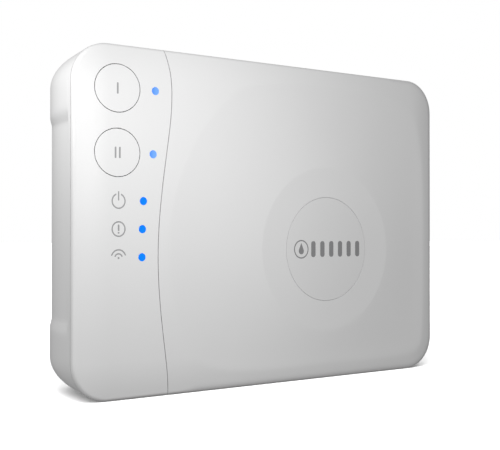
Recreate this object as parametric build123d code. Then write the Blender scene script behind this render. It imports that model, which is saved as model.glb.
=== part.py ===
"""Wall-mounted water and leak controller: casing, two push buttons, indicator lights and electronics.

Frame: millimetres, +Z up, +X to the right seen from the front. The front faces -Y and the back lies
on the wall plane y = 0. The origin is the centre of the back face.
"""
from build123d import *
import math
import os

os.makedirs("parts", exist_ok=True)

# ---------------------------------------------------------------- casing sizes
WIDTH = 206.0
HEIGHT = 148.0
DEPTH = 44.0
CORNER_R = 16.0

FRONT_DEPTH = 4.2           # depth of the two front mouldings, from the face to the casing seam
CROWN_BAND = 15.2           # how far in from the casing's edge the face turns flat
CROWN_R = 62.0              # radius of the gentle roll-off round the face
CROWN_ANGLE = 13.0          # slope in degrees where the roll-off meets the crisp edge
FRONT_WALL = 2.2
SHADOW_GAP = 0.3            # open line between the front mouldings and the rear shell

TAPER_DEPTH = 13.6          # straight tapered band of the rear shell
TAPER_ANGLE = 6.3
BACK_CORNER_R = 1.4         # corner radius left on the back face
BACK_PULL = 0.55            # how full the curve is from the tapered band into the back
HOLLOW_LEAN = 0.4           # how far the hollow's back corner moves in, as a share of the floor
REAR_WALL = 2.4
REAR_FLOOR = 2.5

GRIP_SETBACK = 10.6         # from the face to the start of the side finger grips
GRIP_SINK = 1.2
GRIP_LENGTH = 84.0
GRIP_RAMP = 6.0
OVERCUT = 1.0               # how far a cutter runs past what it cuts
ROOT = 0.5                  # how far a rib or a boss is sunk into the wall it grows from

LIP_WALL = 1.2              # locating lip of the front mouldings, inside the rear shell
LIP_CLEARANCE = 0.8
LIP_DEPTH = 3.8
GASKET_WIDTH = 1.0
GASKET_SINK = 1.0

# The seam between the control panel and the terminal cover, from top to bottom: distance from
# the left edge, and height as a share of half the casing's height.
SEAM_SHAPE = (
    (42.5, 1.0),
    (45.6, 0.73),
    (43.1, 0.405),
    (39.3, -0.01),
    (38.8, -0.245),
    (40.6, -0.57),
    (44.8, -1.0),
)
SEAM_GAP = 0.32
SCREW_STATIONS = (1, 3, 5)  # seam points that a panel screw stands beside

LEDGE_SINK = 4.4            # from the face to the front of the screw ledge
LEDGE_THICKNESS = 2.0
LEDGE_REACH = 9.0           # how far the ledge runs under the terminal cover
LEDGE_WEB = (3.2, 1.4)      # the web that carries the ledge, left of the seam
PANEL_SCREW_OFFSET = 5.2
PANEL_BOSS_R = 3.2
PANEL_BOSS_FOOT = 1.2       # how much wider the foot of a panel boss is
PANEL_FOOT_BELOW = 1.5      # room between that foot and the main board's back

# Concentric relief on the terminal cover, round the badge
BADGE_FROM_RIGHT = 72.8
BADGE_Z = -12.3
BADGE_R = 24.7
BADGE_GAP = 0.16
BADGE_THICKNESS = 1.0
BADGE_PAD_MARGIN = 2.0
BADGE_PAD_THICKNESS = 0.8
RIPPLE_R = 89.0             # outer crease of the dish
RIPPLE_TROUGH = 0.62
RIDGE_R = 39.0              # crest of the inner ring
RIDGE_DROP = 0.1
BADGE_DROP = 0.42
DISH_SAG = 0.08
DISH_RUNOUT = 4.0           # how far the dish's cutter runs on past its outer crease
EMBLEM_RING_X = -15.8
EMBLEM_RING_R = 4.4
EMBLEM_DROP_R = 1.6
EMBLEM_BAR = (2.7, 7.6)
EMBLEM_BAR_PITCH = 5.6
EMBLEM_FIRST_BAR = -8.4
EMBLEM_BARS = 6

# ---------------------------------------------------------------- control panel
BUTTON_X = 19.35            # distances from the casing's left edge
BUTTON_Z = (55.4, 28.7)
BUTTON_HALF_WIDTH = 10.35
BUTTON_HALF_HEIGHT = 9.85
BUTTON_GAP = 0.36
BUTTON_TRAVEL = 0.6
FLANGE_REACH = 1.2
FLANGE_SETBACK = 0.7
FLANGE_THICKNESS = 1.0
FLANGE_ROOM = 0.25          # clear room round and in front of the flange
CAP_WALL = 1.6
CAP_FACE = 1.8
STEM_R = 2.4

LIGHT_R = 1.75
LIGHTS = ((37.4, 55.6), (36.3, 28.7), (31.6, 8.8), (31.1, -3.0), (30.9, -14.8))
LIGHT_COLLAR = 0.7
LIGHT_COLLAR_THICKNESS = 1.2
LIGHT_GAP = 0.5
LED = (3.2, 1.6, 0.8)       # width, height and how far a chip stands out of its board

MARK_SINK = 0.15            # the inlaid marks
MARK_LINE = 0.58
MARK_X = 19.8
POWER_Z = 8.6
ALARM_Z = -3.0
RADIO_Z = -15.0
ICON_R = 3.0
POWER_OPENING = 2.2
POWER_BAR = 3.9
ALARM_BAR = (0.75, 2.7)
ALARM_BAR_RISE = 0.55
ALARM_DOT_DROP = 1.55
RADIO_ARCS = (1.75, 3.4)
RADIO_SPREAD = 145.0
BAR_WIDTH = 0.8             # the bars that number the buttons
BAR_HEIGHT = 4.7
BAR_SPACING = 2.0

# ---------------------------------------------------------------- electronics
BOARD = 1.6
DISPLAY_SETBACK = 10.0      # from the face to the front of the display board
DISPLAY_X = (7.0, 41.0)     # from the left edge
DISPLAY_Z = (-28.0, 64.0)
DISPLAY_POSTS = ((10.5, 42.0), (35.0, 42.0), (10.5, -22.5), (35.0, -24.0))
DISPLAY_POST_R = 2.6
WIRELESS_BOARD = (16.0, 26.0, 0.8)   # width, height, thickness
WIRELESS_FROM_BOARD = 2.0
WIRELESS_Z = 9.0
SHIELD = (12.0, 15.0, 2.4)
SHIELD_Z = 5.5
SWITCH_SIDE = 6.0
SWITCH_HEIGHT = 3.5
PLUNGER_R = 1.75
PLUNGER_CLEARANCE = 0.05
PLUNGER_SEAT = 0.9
PLUNGER_ROOM = 0.4          # left under the plunger when it is pressed home

MAIN_STANDOFF = 7.5         # from the rear floor to the back of the main board
MAIN_FROM_LEFT = 57.0
MAIN_FROM_RIGHT = 13.0
MAIN_FROM_TOP = 20.0
MAIN_FROM_BOTTOM = 30.0
MAIN_BOSS_INSET = 5.0
MAIN_BOSS_MIDDLE = 47.0     # from the board's left edge to its middle pair of bosses
BOSS_R = 3.2
SCREW_R = 1.4
SCREW_HEAD_R = 2.6
SCREW_HEAD = 1.6
SCREW_BITE = 7.0
BOARD_SCREW_BITE = 5.0
SCREW_PLAY = 0.2            # room round a screw in the piece it holds
PILOT_R = 1.1
DISPLAY_PILOT_R = 0.9

TERMINAL_PITCH = 5.08
SENSOR_PITCH = 3.81
TERMINAL_DEPTH = 10.0
TERMINAL_HEIGHT = 11.0
TERMINAL_END = 0.4          # wall past the last way at each end
TERMINAL_CHAMFER = 1.6
CLAMP_SLOT = 0.7
MOUTH_DEPTH = (2.4, 6.4)    # the wire mouths, between two distances from the board
WELL_DEPTH = 3.2
SCREW_SINK = 1.4            # how far the clamping screws lie in their wells

# On the main board, a place is a distance from its right edge and one from its top edge, and a
# size is a width, a height and how far the component stands out of the board.
POWER_MODULE_AT = (26.0, 26.0)
POWER_MODULE = (36.0, 26.0, 20.0)
FUSE_AT = (32.0, 50.0)
FUSE_CRADLE = (24.0, 9.0, 2.2)
FUSE_CLIP = (3.6, 8.2, 8.4)
FUSE_CLIP_X = 8.4
FUSE_RISE = 5.6
FUSE_CAP_R = 2.6
FUSE_GLASS_R = 2.3
FUSE_LENGTH = 20.0
FUSE_CAP = 5.0
FUSE_CLEARANCE = 0.02
FUSE_MOUTH = 4.0
VARISTOR_AT = (12.0, 50.0)
VARISTOR_R = 5.2
VARISTOR_THICKNESS = 4.0
VARISTOR_RISE = 1.2
FILTER_AT = (57.0, 22.0)
FILTER = (18.0, 8.0, 14.0)
BIG_CAN_AT = (54.0, 38.0)
BIG_CAN = (5.0, 16.0)       # radius and height
SMALL_CAN_AT = (67.0, 38.0)
SMALL_CAN = (4.0, 12.0)
GROOVE_RISE = 2.4           # the rolled groove of a can
GROOVE_WIDTH = 1.0
GROOVE_DEPTH = 0.35
BUZZER_AT = (116.0, 16.0)
BUZZER = (6.0, 8.5)
REGULATOR_AT = (94.0, 14.0)
REGULATOR = (10.0, 4.4, 11.0)
REGULATOR_TAB = (1.3, 17.5, 14.5)    # thickness, its top and its hole from the board
MICROCONTROLLER_AT = (106.0, 42.0)
MICROCONTROLLER = (10.0, 10.0, 1.6)
RELAY_DRIVER_AT = (104.0, 62.0)
RELAY_DRIVER = (6.0, 10.0, 1.8)
CHIP_LIFT = 0.15            # a chip's body clear of its board
LEG_LENGTH = 1.0
LEG_RISE = 0.6
LEG_WIDTH = 0.4
CRYSTAL_AT = (106.0, 32.0)
CRYSTAL = (10.5, 4.4, 3.4)
RELAY = (15.4, 19.0, 15.6)
RELAY_PITCH = 19.5
RELAY_FROM_RIGHT = 17.0
RELAY_GAP = 3.0             # between the terminals and the relays
RELAYS = 4
MAINS_TERMINAL_X = 12.0     # from the board's right edge
VALVE_TERMINALS_X = (36.0, 58.0)
SENSOR_TERMINAL_X = 110.0

HEADER_Z = -12.5
HEADER = (6.0, 15.0, 5.0)
DISPLAY_HEADER_X = 35.8     # from the casing's left edge
MAIN_HEADER_INSET = 2.0
RIBBON_HALF_WIDTH = 6.2
RIBBON_THICKNESS = 0.9
RIBBON_BEND_R = 3.0

# ---------------------------------------------------------------- fixing and cable entries
KEYHOLE_X = 60.0
KEYHOLE_Z = 38.0
KEYHOLE_ENTRY_R = 4.3
KEYHOLE_SLOT_R = 2.2
KEYHOLE_RISE = 8.0
WALL_SCREW_X = 45.0
WALL_SCREW_Z = -53.0
WALL_SCREW_R = 2.25

ENTRY_X = (-30.0, 15.0, 60.0)
ENTRY_HOLE_R = 5.6
ENTRY_BORE_R = 4.0
ENTRY_FLANGE = 1.2
ENTRY_FLANGE_R = 6.6
ENTRY_WALL = 2.2
ENTRY_POCKET = 2.5          # how far the flat pocket lies inside the casing's bottom edge
ENTRY_MARGIN = 0.6          # clear room round the flanges
STRIP_RIDGE = 0.8           # the ridge that holds the entry strip in the casing

# ---------------------------------------------------------------- places worked out from the sizes
LEFT = -WIDTH / 2
RIGHT = WIDTH / 2
TOP = HEIGHT / 2
BOTTOM = -HEIGHT / 2
CROWN_FLAT = CORNER_R - CROWN_BAND
AXIS_X = WIDTH / 2 - CORNER_R
AXIS_Z = HEIGHT / 2 - CORNER_R
FACE_Y = -DEPTH
SEAM_Y = FACE_Y + FRONT_DEPTH
INNER_FACE_Y = FACE_Y + FRONT_WALL
FLOOR_Y = -REAR_FLOOR
TAPER_END_Y = SEAM_Y + TAPER_DEPTH
LIP_OUTER_R = CORNER_R - REAR_WALL - LIP_CLEARANCE
LIP_INNER_R = LIP_OUTER_R - LIP_WALL
BADGE_X = RIGHT - BADGE_FROM_RIGHT

DISPLAY_FRONT_Y = FACE_Y + DISPLAY_SETBACK
DISPLAY_BACK_Y = DISPLAY_FRONT_Y + BOARD
MAIN_BACK_Y = FLOOR_Y - MAIN_STANDOFF
MAIN_FRONT_Y = MAIN_BACK_Y - BOARD
MAIN_LEFT = LEFT + MAIN_FROM_LEFT
MAIN_RIGHT = RIGHT - MAIN_FROM_RIGHT
MAIN_TOP = TOP - MAIN_FROM_TOP
MAIN_BOTTOM = BOTTOM + MAIN_FROM_BOTTOM
LEDGE_FRONT_Y = FACE_Y + LEDGE_SINK
LEDGE_BACK_Y = LEDGE_FRONT_Y + LEDGE_THICKNESS
LIP_END_Y = SEAM_Y + LIP_DEPTH
ENTRY_Y = LIP_END_Y + ENTRY_MARGIN + ENTRY_FLANGE_R
ENTRY_OUTER_Z = BOTTOM + ENTRY_POCKET
ENTRY_INNER_Z = ENTRY_OUTER_Z + ENTRY_WALL


# ---------------------------------------------------------------- building blocks
def block(x0, x1, y0, y1, z0, z1):
    """A plain box between two corners."""
    centre = Pos((x0 + x1) / 2, (y0 + y1) / 2, (z0 + z1) / 2)
    return centre * Box(x1 - x0, y1 - y0, z1 - z0)


def soft_block(x0, x1, y0, y1, z0, z1, radius):
    """A box with its edges along Y and its front rim rounded, such as a moulded component body."""
    body = block(x0, x1, y0, y1, z0, z1)
    body = fillet(body.edges().filter_by(Axis.Y), radius)
    front = body.faces().sort_by(Axis.Y)[0]
    return chamfer(front.edges(), radius * 0.5)


def rod(x, z, radius, y0, y1):
    """A round bar along Y between two depths."""
    bar = Cylinder(radius, y1 - y0, align=(Align.CENTER, Align.CENTER, Align.MIN))
    return Pos(x, y0, z) * Rot(-90, 0, 0) * bar


def upright(x, y, radius, z0, z1):
    """A round bar along Z between two heights."""
    return Pos(x, y, z0) * Cylinder(radius, z1 - z0, align=(Align.CENTER, Align.CENTER, Align.MIN))


def front_plane(y):
    """The plane at depth y seen from the front: local x is right, local y is up."""
    return Plane(origin=(0, y, 0), x_dir=(1, 0, 0), z_dir=(0, -1, 0))


def plate(outline, y_front, y_back):
    """Thickens an outline drawn as seen from the front between two depths."""
    return extrude(front_plane(y_back) * outline, y_back - y_front)


def closed(*lines):
    """The face inside a closed run of lines."""
    edges = [edge for line in lines for edge in line.edges()]
    return make_face(edges)


def rounded_body(section, reach_x=AXIS_X, reach_z=AXIS_Z):
    """Carries a section round the casing's plan.

    The section lies in the XY plane: x is the distance outward from a corner axis, y the depth.
    """
    quarter = revolve(section, Axis.Y, 90)
    side = extrude(section, reach_z, both=True)
    end = extrude(section, reach_x, both=True)
    box = section.bounding_box()
    pieces = [
        Pos(reach_x, 0, -reach_z) * quarter,
        Pos(reach_x, 0, reach_z) * Rot(0, -90, 0) * quarter,
        Pos(-reach_x, 0, reach_z) * Rot(0, 180, 0) * quarter,
        Pos(-reach_x, 0, -reach_z) * Rot(0, 90, 0) * quarter,
        Pos(reach_x, 0, 0) * side,
        Pos(-reach_x, 0, 0) * Rot(0, 180, 0) * side,
        Pos(0, 0, reach_z) * Rot(0, -90, 0) * end,
        Pos(0, 0, -reach_z) * Rot(0, 90, 0) * end,
    ]
    if box.min.X < 0.001:
        pieces.append(block(-reach_x, reach_x, box.min.Y, box.max.Y, -reach_z, reach_z))
    body = pieces[0].fuse(*pieces[1:])
    return body.clean()


def band(r0, r1, y0, y1):
    """A rectangular section between two distances from the corner axis and two depths."""
    return closed(Polyline((r0, y0), (r1, y0), (r1, y1), (r0, y1), (r0, y0)))


def inside(clearance, y0, y1):
    """A block that fills the casing's plan up to a distance from the outer edge."""
    return rounded_body(band(0, CORNER_R - clearance, y0, y1))


# ---------------------------------------------------------------- casing profiles
def crown_arc(radius, y_flat, end_angle):
    """The roll-off from the flat face, and the point where it ends."""
    centre_y = y_flat + radius

    def at(angle):
        turn = math.radians(angle)
        return (CROWN_FLAT + radius * math.sin(turn), centre_y - radius * math.cos(turn))

    return ThreePointArc(at(0), at(end_angle / 2), at(end_angle)), at(end_angle)


def front_section():
    """Outer section of the front mouldings: flat, roll-off, crisp edge and short skirt."""
    arc, (r, y) = crown_arc(CROWN_R, FACE_Y, CROWN_ANGLE)
    slope = math.radians(CROWN_ANGLE)
    edge_r = (CORNER_R - r) / (1 - math.sin(slope))
    centre = (r - edge_r * math.sin(slope), y + edge_r * math.cos(slope))
    middle = math.radians((CROWN_ANGLE + 90) / 2)
    edge = ThreePointArc(
        (r, y),
        (centre[0] + edge_r * math.sin(middle), centre[1] - edge_r * math.cos(middle)),
        (CORNER_R, centre[1]),
    )
    skirt_y = SEAM_Y - SHADOW_GAP / 2
    skirt = Polyline((CORNER_R, centre[1]), (CORNER_R, skirt_y), (0, skirt_y))
    face = Polyline((0, skirt_y), (0, FACE_Y), (CROWN_FLAT, FACE_Y))
    return closed(arc, edge, skirt, face)


def front_cavity_section():
    """The hollow behind the front mouldings."""
    radius = CROWN_R - FRONT_WALL
    skirt_r = CORNER_R - FRONT_WALL
    angle = math.degrees(math.asin((skirt_r - CROWN_FLAT) / radius))
    arc, (r, y) = crown_arc(radius, INNER_FACE_Y, angle)
    frame = Polyline((r, y), (r, SEAM_Y), (0, SEAM_Y), (0, INNER_FACE_Y), (CROWN_FLAT, INNER_FACE_Y))
    return closed(arc, frame)


def rear_profile(wall, floor):
    """Side line of the rear shell from its rim to its back, moved in by a wall and a floor."""
    inset = TAPER_DEPTH * math.tan(math.radians(TAPER_ANGLE))
    rim_y = SEAM_Y + SHADOW_GAP / 2
    rim = (CORNER_R - wall, rim_y)
    bend = (CORNER_R - wall - inset, TAPER_END_Y)
    back = (BACK_CORNER_R + floor * HOLLOW_LEAN, -floor)
    pull_y = BACK_PULL * (back[1] - bend[1])
    pull_r = BACK_PULL * (bend[0] - back[0])
    lean = math.tan(math.radians(TAPER_ANGLE))
    leave = (bend[0] - pull_y * lean, bend[1] + pull_y)
    arrive = (back[0] + pull_r, back[1])
    curve = Bezier(bend, leave, arrive, back)
    return Polyline(rim, bend), curve, rim, back


def rear_section(wall, floor):
    """Section of the rear shell's outside, or of its hollow when a wall is given."""
    taper, curve, rim, back = rear_profile(wall, floor)
    frame = Polyline(back, (0, back[1]), (0, rim[1]), rim)
    return closed(taper, curve, frame)


def seam_points(shift):
    """The panel seam in front view, moved sideways."""
    return [(LEFT + x + shift, share * TOP) for x, share in SEAM_SHAPE]


def seam_side(shift, side):
    """Everything to the left (side -1) or right (side 1) of the seam."""
    points = seam_points(shift)
    first, last = points[0], points[-1]
    far, over = side * WIDTH, CORNER_R
    low, high = last[1] - over, first[1] + over
    frame = Polyline(last, (last[0], low), (far, low), (far, high), (first[0], high), first)
    return closed(Spline(*points), frame)


def seam_strip(shift_a, shift_b):
    """The strip between two sideways copies of the seam."""
    near, far = seam_points(shift_a), seam_points(shift_b)
    return closed(Spline(*near), Spline(*far), Line(near[0], far[0]), Line(near[-1], far[-1]))


def panel_screw_places():
    """Front-view places of the screws that hold the control panel."""
    points = seam_points(PANEL_SCREW_OFFSET)
    return [points[station] for station in SCREW_STATIONS]


def display_post_places():
    return [(LEFT + x, z) for x, z in DISPLAY_POSTS]


def main_boss_places():
    """Front-view places of the main board's bosses: a pair near each end and one between."""
    xs = (MAIN_LEFT + MAIN_BOSS_INSET, MAIN_LEFT + MAIN_BOSS_MIDDLE, MAIN_RIGHT - MAIN_BOSS_INSET)
    zs = (MAIN_BOTTOM + MAIN_BOSS_INSET + TERMINAL_DEPTH, MAIN_TOP - MAIN_BOSS_INSET)
    return [(x, z) for x in xs for z in zs]


def button_places():
    return [(LEFT + BUTTON_X, z) for z in BUTTON_Z]


def light_places():
    return [(LEFT + x, z) for x, z in LIGHTS]


# ---------------------------------------------------------------- rear shell
def side_grip():
    """The cutter of the finger grip in the right side, with a ramp at each end."""
    taper, curve, rim, back = rear_profile(GRIP_SINK, 0)
    far = CORNER_R * 2
    outside = closed(taper, curve, Polyline(back, (far, back[1] + OVERCUT), (far, rim[1]), rim))
    start = FACE_Y + GRIP_SETBACK
    front = rim[1] - OVERCUT
    slope_end, slope_start = start - far / 2, start + CORNER_R / 2
    slope = Polyline((0, front), (far, front), (far, slope_end), (0, slope_start), (0, front))
    section = (outside - closed(slope)).faces()[0]
    half = GRIP_LENGTH / 2
    cutter = extrude(section, half, both=True)
    for end in (-1, 1):
        face = Pos(0, 0, end * half) * section
        cutter += Solid.extrude(face.faces()[0], Vector(GRIP_SINK + ROOT, 0, end * GRIP_RAMP))
    return Pos(AXIS_X, 0, 0) * cutter


def keyhole(x):
    """Cutter for one hanging hole: a round entry and a narrow slot above it."""
    y0, y1 = FLOOR_Y - OVERCUT, OVERCUT
    top = KEYHOLE_Z + KEYHOLE_RISE
    cutter = rod(x, KEYHOLE_Z, KEYHOLE_ENTRY_R, y0, y1) + rod(x, top, KEYHOLE_SLOT_R, y0, y1)
    return cutter + block(x - KEYHOLE_SLOT_R, x + KEYHOLE_SLOT_R, y0, y1, KEYHOLE_Z, top)


def make_rear_shell():
    """The tub that stands on the wall and carries everything else."""
    shell = rounded_body(rear_section(0, 0))
    shell -= rounded_body(rear_section(REAR_WALL, REAR_FLOOR))
    grip = side_grip()
    shell -= grip
    shell -= Rot(0, 180, 0) * grip

    # frame and pocket of the cable entry strip
    x0, x1, y0, y1 = entry_opening()
    side = ENTRY_WALL
    frame = block(x0 - side, x1 + side, y0, y1 + side, ENTRY_OUTER_Z - side, ENTRY_INNER_Z)
    shell += frame & rounded_body(rear_section(REAR_WALL / 2, REAR_FLOOR / 2))
    shell -= block(x0, x1, y0, y1, BOTTOM - OVERCUT, ENTRY_INNER_Z + ENTRY_FLANGE + ENTRY_MARGIN)
    shell -= strip_ridge()

    # bosses
    root_y = FLOOR_Y + ROOT
    for x, z in main_boss_places():
        shell += rod(x, z, BOSS_R, MAIN_BACK_Y, root_y)
    for x, z in panel_screw_places():
        shell += rod(x, z, PANEL_BOSS_R, LEDGE_BACK_Y, root_y)
        shell += rod(x, z, PANEL_BOSS_R + PANEL_BOSS_FOOT, MAIN_BACK_Y + PANEL_FOOT_BELOW, root_y)
    for x, z in main_boss_places():
        shell -= rod(x, z, PILOT_R, MAIN_BACK_Y - OVERCUT, MAIN_BACK_Y + SCREW_BITE - OVERCUT)
    for x, z in panel_screw_places():
        shell -= rod(x, z, PILOT_R, LEDGE_BACK_Y - OVERCUT, LEDGE_BACK_Y + SCREW_BITE + 2 * OVERCUT)

    # wall fixings
    for side in (-1, 1):
        shell -= keyhole(side * KEYHOLE_X)
        shell -= rod(side * WALL_SCREW_X, WALL_SCREW_Z, WALL_SCREW_R, FLOOR_Y - OVERCUT, OVERCUT)

    shell -= rounded_body(gasket_section(0))
    return shell


def gasket_section(height):
    """Section of the gasket, or of its groove, by how far it stands out of the rim."""
    rim_y = SEAM_Y + SHADOW_GAP / 2
    middle = CORNER_R - REAR_WALL / 2
    half = GASKET_WIDTH / 2
    return band(middle - half, middle + half, rim_y - height, rim_y + GASKET_SINK)


def entry_opening():
    """Sides of the opening in the bottom edge: left, right, front and back."""
    reach = ENTRY_FLANGE_R + ENTRY_MARGIN
    return min(ENTRY_X) - reach, max(ENTRY_X) + reach, ENTRY_Y - reach, ENTRY_Y + reach


def strip_ridge():
    """The ridge round the ends and the back edge of the entry strip, with the strip between."""
    x0, x1, y0, y1 = entry_opening()
    middle = (ENTRY_OUTER_Z + ENTRY_INNER_Z) / 2
    low, high = middle - STRIP_RIDGE / 2, middle + STRIP_RIDGE / 2
    return block(x0 - STRIP_RIDGE, x1 + STRIP_RIDGE, y0, y1 + STRIP_RIDGE, low, high)


def make_entry_strip():
    """The strip in the bottom edge that holds the cable grommets."""
    strip = block(*entry_opening(), ENTRY_OUTER_Z, ENTRY_INNER_Z) + strip_ridge()
    for x in ENTRY_X:
        ends = (ENTRY_OUTER_Z - OVERCUT, ENTRY_INNER_Z + OVERCUT)
        strip -= upright(x, ENTRY_Y, ENTRY_HOLE_R, *ends)
    return strip


def make_rim_gasket():
    """The soft cord in the rim that the front mouldings close on."""
    return rounded_body(gasket_section(SHADOW_GAP))


# ---------------------------------------------------------------- front mouldings
def front_blank():
    """Both front mouldings before the seam parts them."""
    blank = rounded_body(front_section())
    blank -= rounded_body(front_cavity_section())
    blank += rounded_body(band(LIP_INNER_R, LIP_OUTER_R, INNER_FACE_Y + ROOT - 0.1, LIP_END_Y))
    return blank


def button_outline(x, z, grow):
    """A button's oval in front view, made larger all round by grow."""
    return Pos(x, z) * Ellipse(BUTTON_HALF_WIDTH + grow, BUTTON_HALF_HEIGHT + grow)


def flange_front():
    """Depth of the front of the buttons' retaining flanges."""
    return INNER_FACE_Y + FLANGE_SETBACK


def make_control_panel(blank, marks):
    """The narrow left moulding with the buttons, the lights and the screw ledge."""
    panel = blank & plate(seam_side(-SEAM_GAP / 2, -1), FACE_Y - OVERCUT, 0)

    ledge = plate(seam_strip(-LEDGE_WEB[0], LEDGE_REACH), LEDGE_FRONT_Y, LEDGE_BACK_Y)
    web = plate(seam_strip(-LEDGE_WEB[0], -LEDGE_WEB[1]), INNER_FACE_Y - ROOT, LEDGE_BACK_Y)
    reach = CORNER_R - LIP_INNER_R + ROOT
    panel += (ledge + web) & inside(reach, FACE_Y, LIP_END_Y)
    for x, z in panel_screw_places():
        panel -= rod(x, z, SCREW_R + SCREW_PLAY, LEDGE_FRONT_Y - OVERCUT, LEDGE_BACK_Y + OVERCUT)

    for x, z in display_post_places():
        panel += rod(x, z, DISPLAY_POST_R, INNER_FACE_Y - ROOT, DISPLAY_FRONT_Y)
        panel -= rod(x, z, DISPLAY_PILOT_R, INNER_FACE_Y + OVERCUT, DISPLAY_FRONT_Y + OVERCUT)

    for x, z in button_places():
        hole = button_outline(x, z, BUTTON_GAP)
        panel -= plate(hole, FACE_Y - OVERCUT, INNER_FACE_Y + OVERCUT)
        room = button_outline(x, z, FLANGE_REACH + FLANGE_ROOM)
        panel -= plate(room, flange_front() - FLANGE_ROOM, flange_front() + FLANGE_THICKNESS)
    for x, z in light_places():
        panel -= rod(x, z, LIGHT_R, FACE_Y - OVERCUT, INNER_FACE_Y + OVERCUT)
    return panel - marks


def badge_recess():
    """The dish and the ring round the badge, with the badge's own seat, as one turned cutter."""
    floor = FACE_Y + BADGE_DROP
    seat_r = BADGE_R + BADGE_GAP
    bottom = ((RIPPLE_R + RIDGE_R) / 2, FACE_Y + RIPPLE_TROUGH)
    crest = (RIDGE_R, FACE_Y + RIDGE_DROP)
    within = ThreePointArc((RIPPLE_R, FACE_Y), bottom, crest)
    centre, radius = within.arc_center, within.radius
    out = RIPPLE_R + DISH_RUNOUT
    above = (out, centre.Y + math.sqrt(radius**2 - (out - centre.X) ** 2))
    trough = ThreePointArc(above, bottom, crest)
    dish = ThreePointArc(
        crest,
        ((RIDGE_R + seat_r) / 2, FACE_Y + (RIDGE_DROP + BADGE_DROP) / 2 + DISH_SAG),
        (seat_r, floor),
    )
    seat = Polyline(
        (seat_r, floor),
        (seat_r, floor + BADGE_THICKNESS),
        (0, floor + BADGE_THICKNESS),
        (0, FACE_Y - OVERCUT),
        (out, FACE_Y - OVERCUT),
        above,
    )
    turned = revolve(closed(trough, dish, seat), Axis.Y, 360)
    return Pos(BADGE_X, 0, BADGE_Z) * turned


def make_terminal_cover(blank):
    """The large right moulding that lifts off the terminals."""
    cover = blank & plate(seam_side(SEAM_GAP / 2, 1), FACE_Y - OVERCUT, 0)
    pad_r = BADGE_R + BADGE_PAD_MARGIN
    pad = rod(BADGE_X, BADGE_Z, pad_r, INNER_FACE_Y - ROOT, INNER_FACE_Y + BADGE_PAD_THICKNESS)
    return (cover + pad) - badge_recess()


def make_badge(emblem):
    front = FACE_Y + BADGE_DROP
    return rod(BADGE_X, BADGE_Z, BADGE_R, front, front + BADGE_THICKNESS) - emblem


def make_badge_emblem():
    """A plain mark inlaid in the badge: a drop in a ring, and a row of rounded bars."""
    ring = Circle(EMBLEM_RING_R) - Circle(EMBLEM_RING_R - MARK_LINE)
    outline = Pos(EMBLEM_RING_X, 0) * (ring + drop_outline(EMBLEM_DROP_R))
    width, height = EMBLEM_BAR
    for index in range(EMBLEM_BARS):
        bar = RectangleRounded(width, height, width * 0.45)
        outline += Pos(EMBLEM_FIRST_BAR + index * EMBLEM_BAR_PITCH, 0) * bar
    front = FACE_Y + BADGE_DROP
    return Pos(BADGE_X, 0, BADGE_Z) * plate(outline, front, front + MARK_SINK)


def drop_outline(radius):
    """A drop standing on its round end, by the radius of that end."""
    shoulder = (radius * 0.88, -radius * 0.1)
    opposite = (-shoulder[0], shoulder[1])
    belly = ThreePointArc(opposite, (0, -radius * 1.5), shoulder)
    return closed(belly, Polyline(opposite, (0, radius * 1.9), shoulder))


# ---------------------------------------------------------------- marks
def arc_band(radius, spread):
    """A round band of the marks' line width, centred on the upward direction."""
    ring = Circle(radius + MARK_LINE / 2) - Circle(radius - MARK_LINE / 2)
    reach = radius * 3
    lean = math.radians(spread / 2)
    side = (reach * math.sin(lean), reach * math.cos(lean))
    wedge = closed(Polyline((0, 0), side, (0, reach * 1.5), (-side[0], side[1]), (0, 0)))
    return ring & wedge


def power_mark():
    """A ring open at the top, with a bar standing in the opening."""
    ring = Circle(ICON_R + MARK_LINE / 2) - Circle(ICON_R - MARK_LINE / 2)
    ring -= Pos(0, ICON_R) * Rectangle(POWER_OPENING, ICON_R)
    return ring + Pos(0, ICON_R * 0.72) * RectangleRounded(MARK_LINE, POWER_BAR, MARK_LINE * 0.45)


def alarm_mark():
    """A ring round an upright bar and a dot."""
    ring = Circle(ICON_R + MARK_LINE / 2) - Circle(ICON_R - MARK_LINE / 2)
    bar = Pos(0, ALARM_BAR_RISE) * RectangleRounded(*ALARM_BAR, MARK_LINE * 0.45)
    return ring + bar + Pos(0, -ALARM_DOT_DROP) * Circle(MARK_LINE * 0.7)


def radio_mark():
    """Two arcs above a dot."""
    mark = Circle(MARK_LINE * 0.75)
    for radius in RADIO_ARCS:
        mark += arc_band(radius, RADIO_SPREAD)
    return mark


def make_panel_marks():
    outline = Pos(LEFT + MARK_X, POWER_Z) * power_mark()
    outline += Pos(LEFT + MARK_X, ALARM_Z) * alarm_mark()
    outline += Pos(LEFT + MARK_X, RADIO_Z) * radio_mark()
    return plate(outline, FACE_Y, FACE_Y + MARK_SINK)


def make_button_mark(x, z, bars):
    """One or two upright bars, the number of the button."""
    outline = Sketch()
    for index in range(bars):
        shift = (index - (bars - 1) / 2) * BAR_SPACING
        outline += Pos(x + shift, z) * RectangleRounded(BAR_WIDTH, BAR_HEIGHT, BAR_WIDTH * 0.4)
    return plate(outline, FACE_Y, FACE_Y + MARK_SINK)


# ---------------------------------------------------------------- buttons, switches and lights
def make_button_cap(x, z, mark, crown):
    """A push cap whose face follows the casing, with a retaining flange and a stem."""
    back_y = flange_front() + FLANGE_THICKNESS
    cap = plate(button_outline(x, z, 0), FACE_Y - OVERCUT, back_y) & crown
    cap += plate(button_outline(x, z, FLANGE_REACH), flange_front(), back_y)
    cap -= plate(button_outline(x, z, -CAP_WALL), FACE_Y + CAP_FACE, back_y + OVERCUT)
    cap += rod(x, z, STEM_R, FACE_Y + CAP_FACE - ROOT, plunger_front())
    return cap - mark


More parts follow.
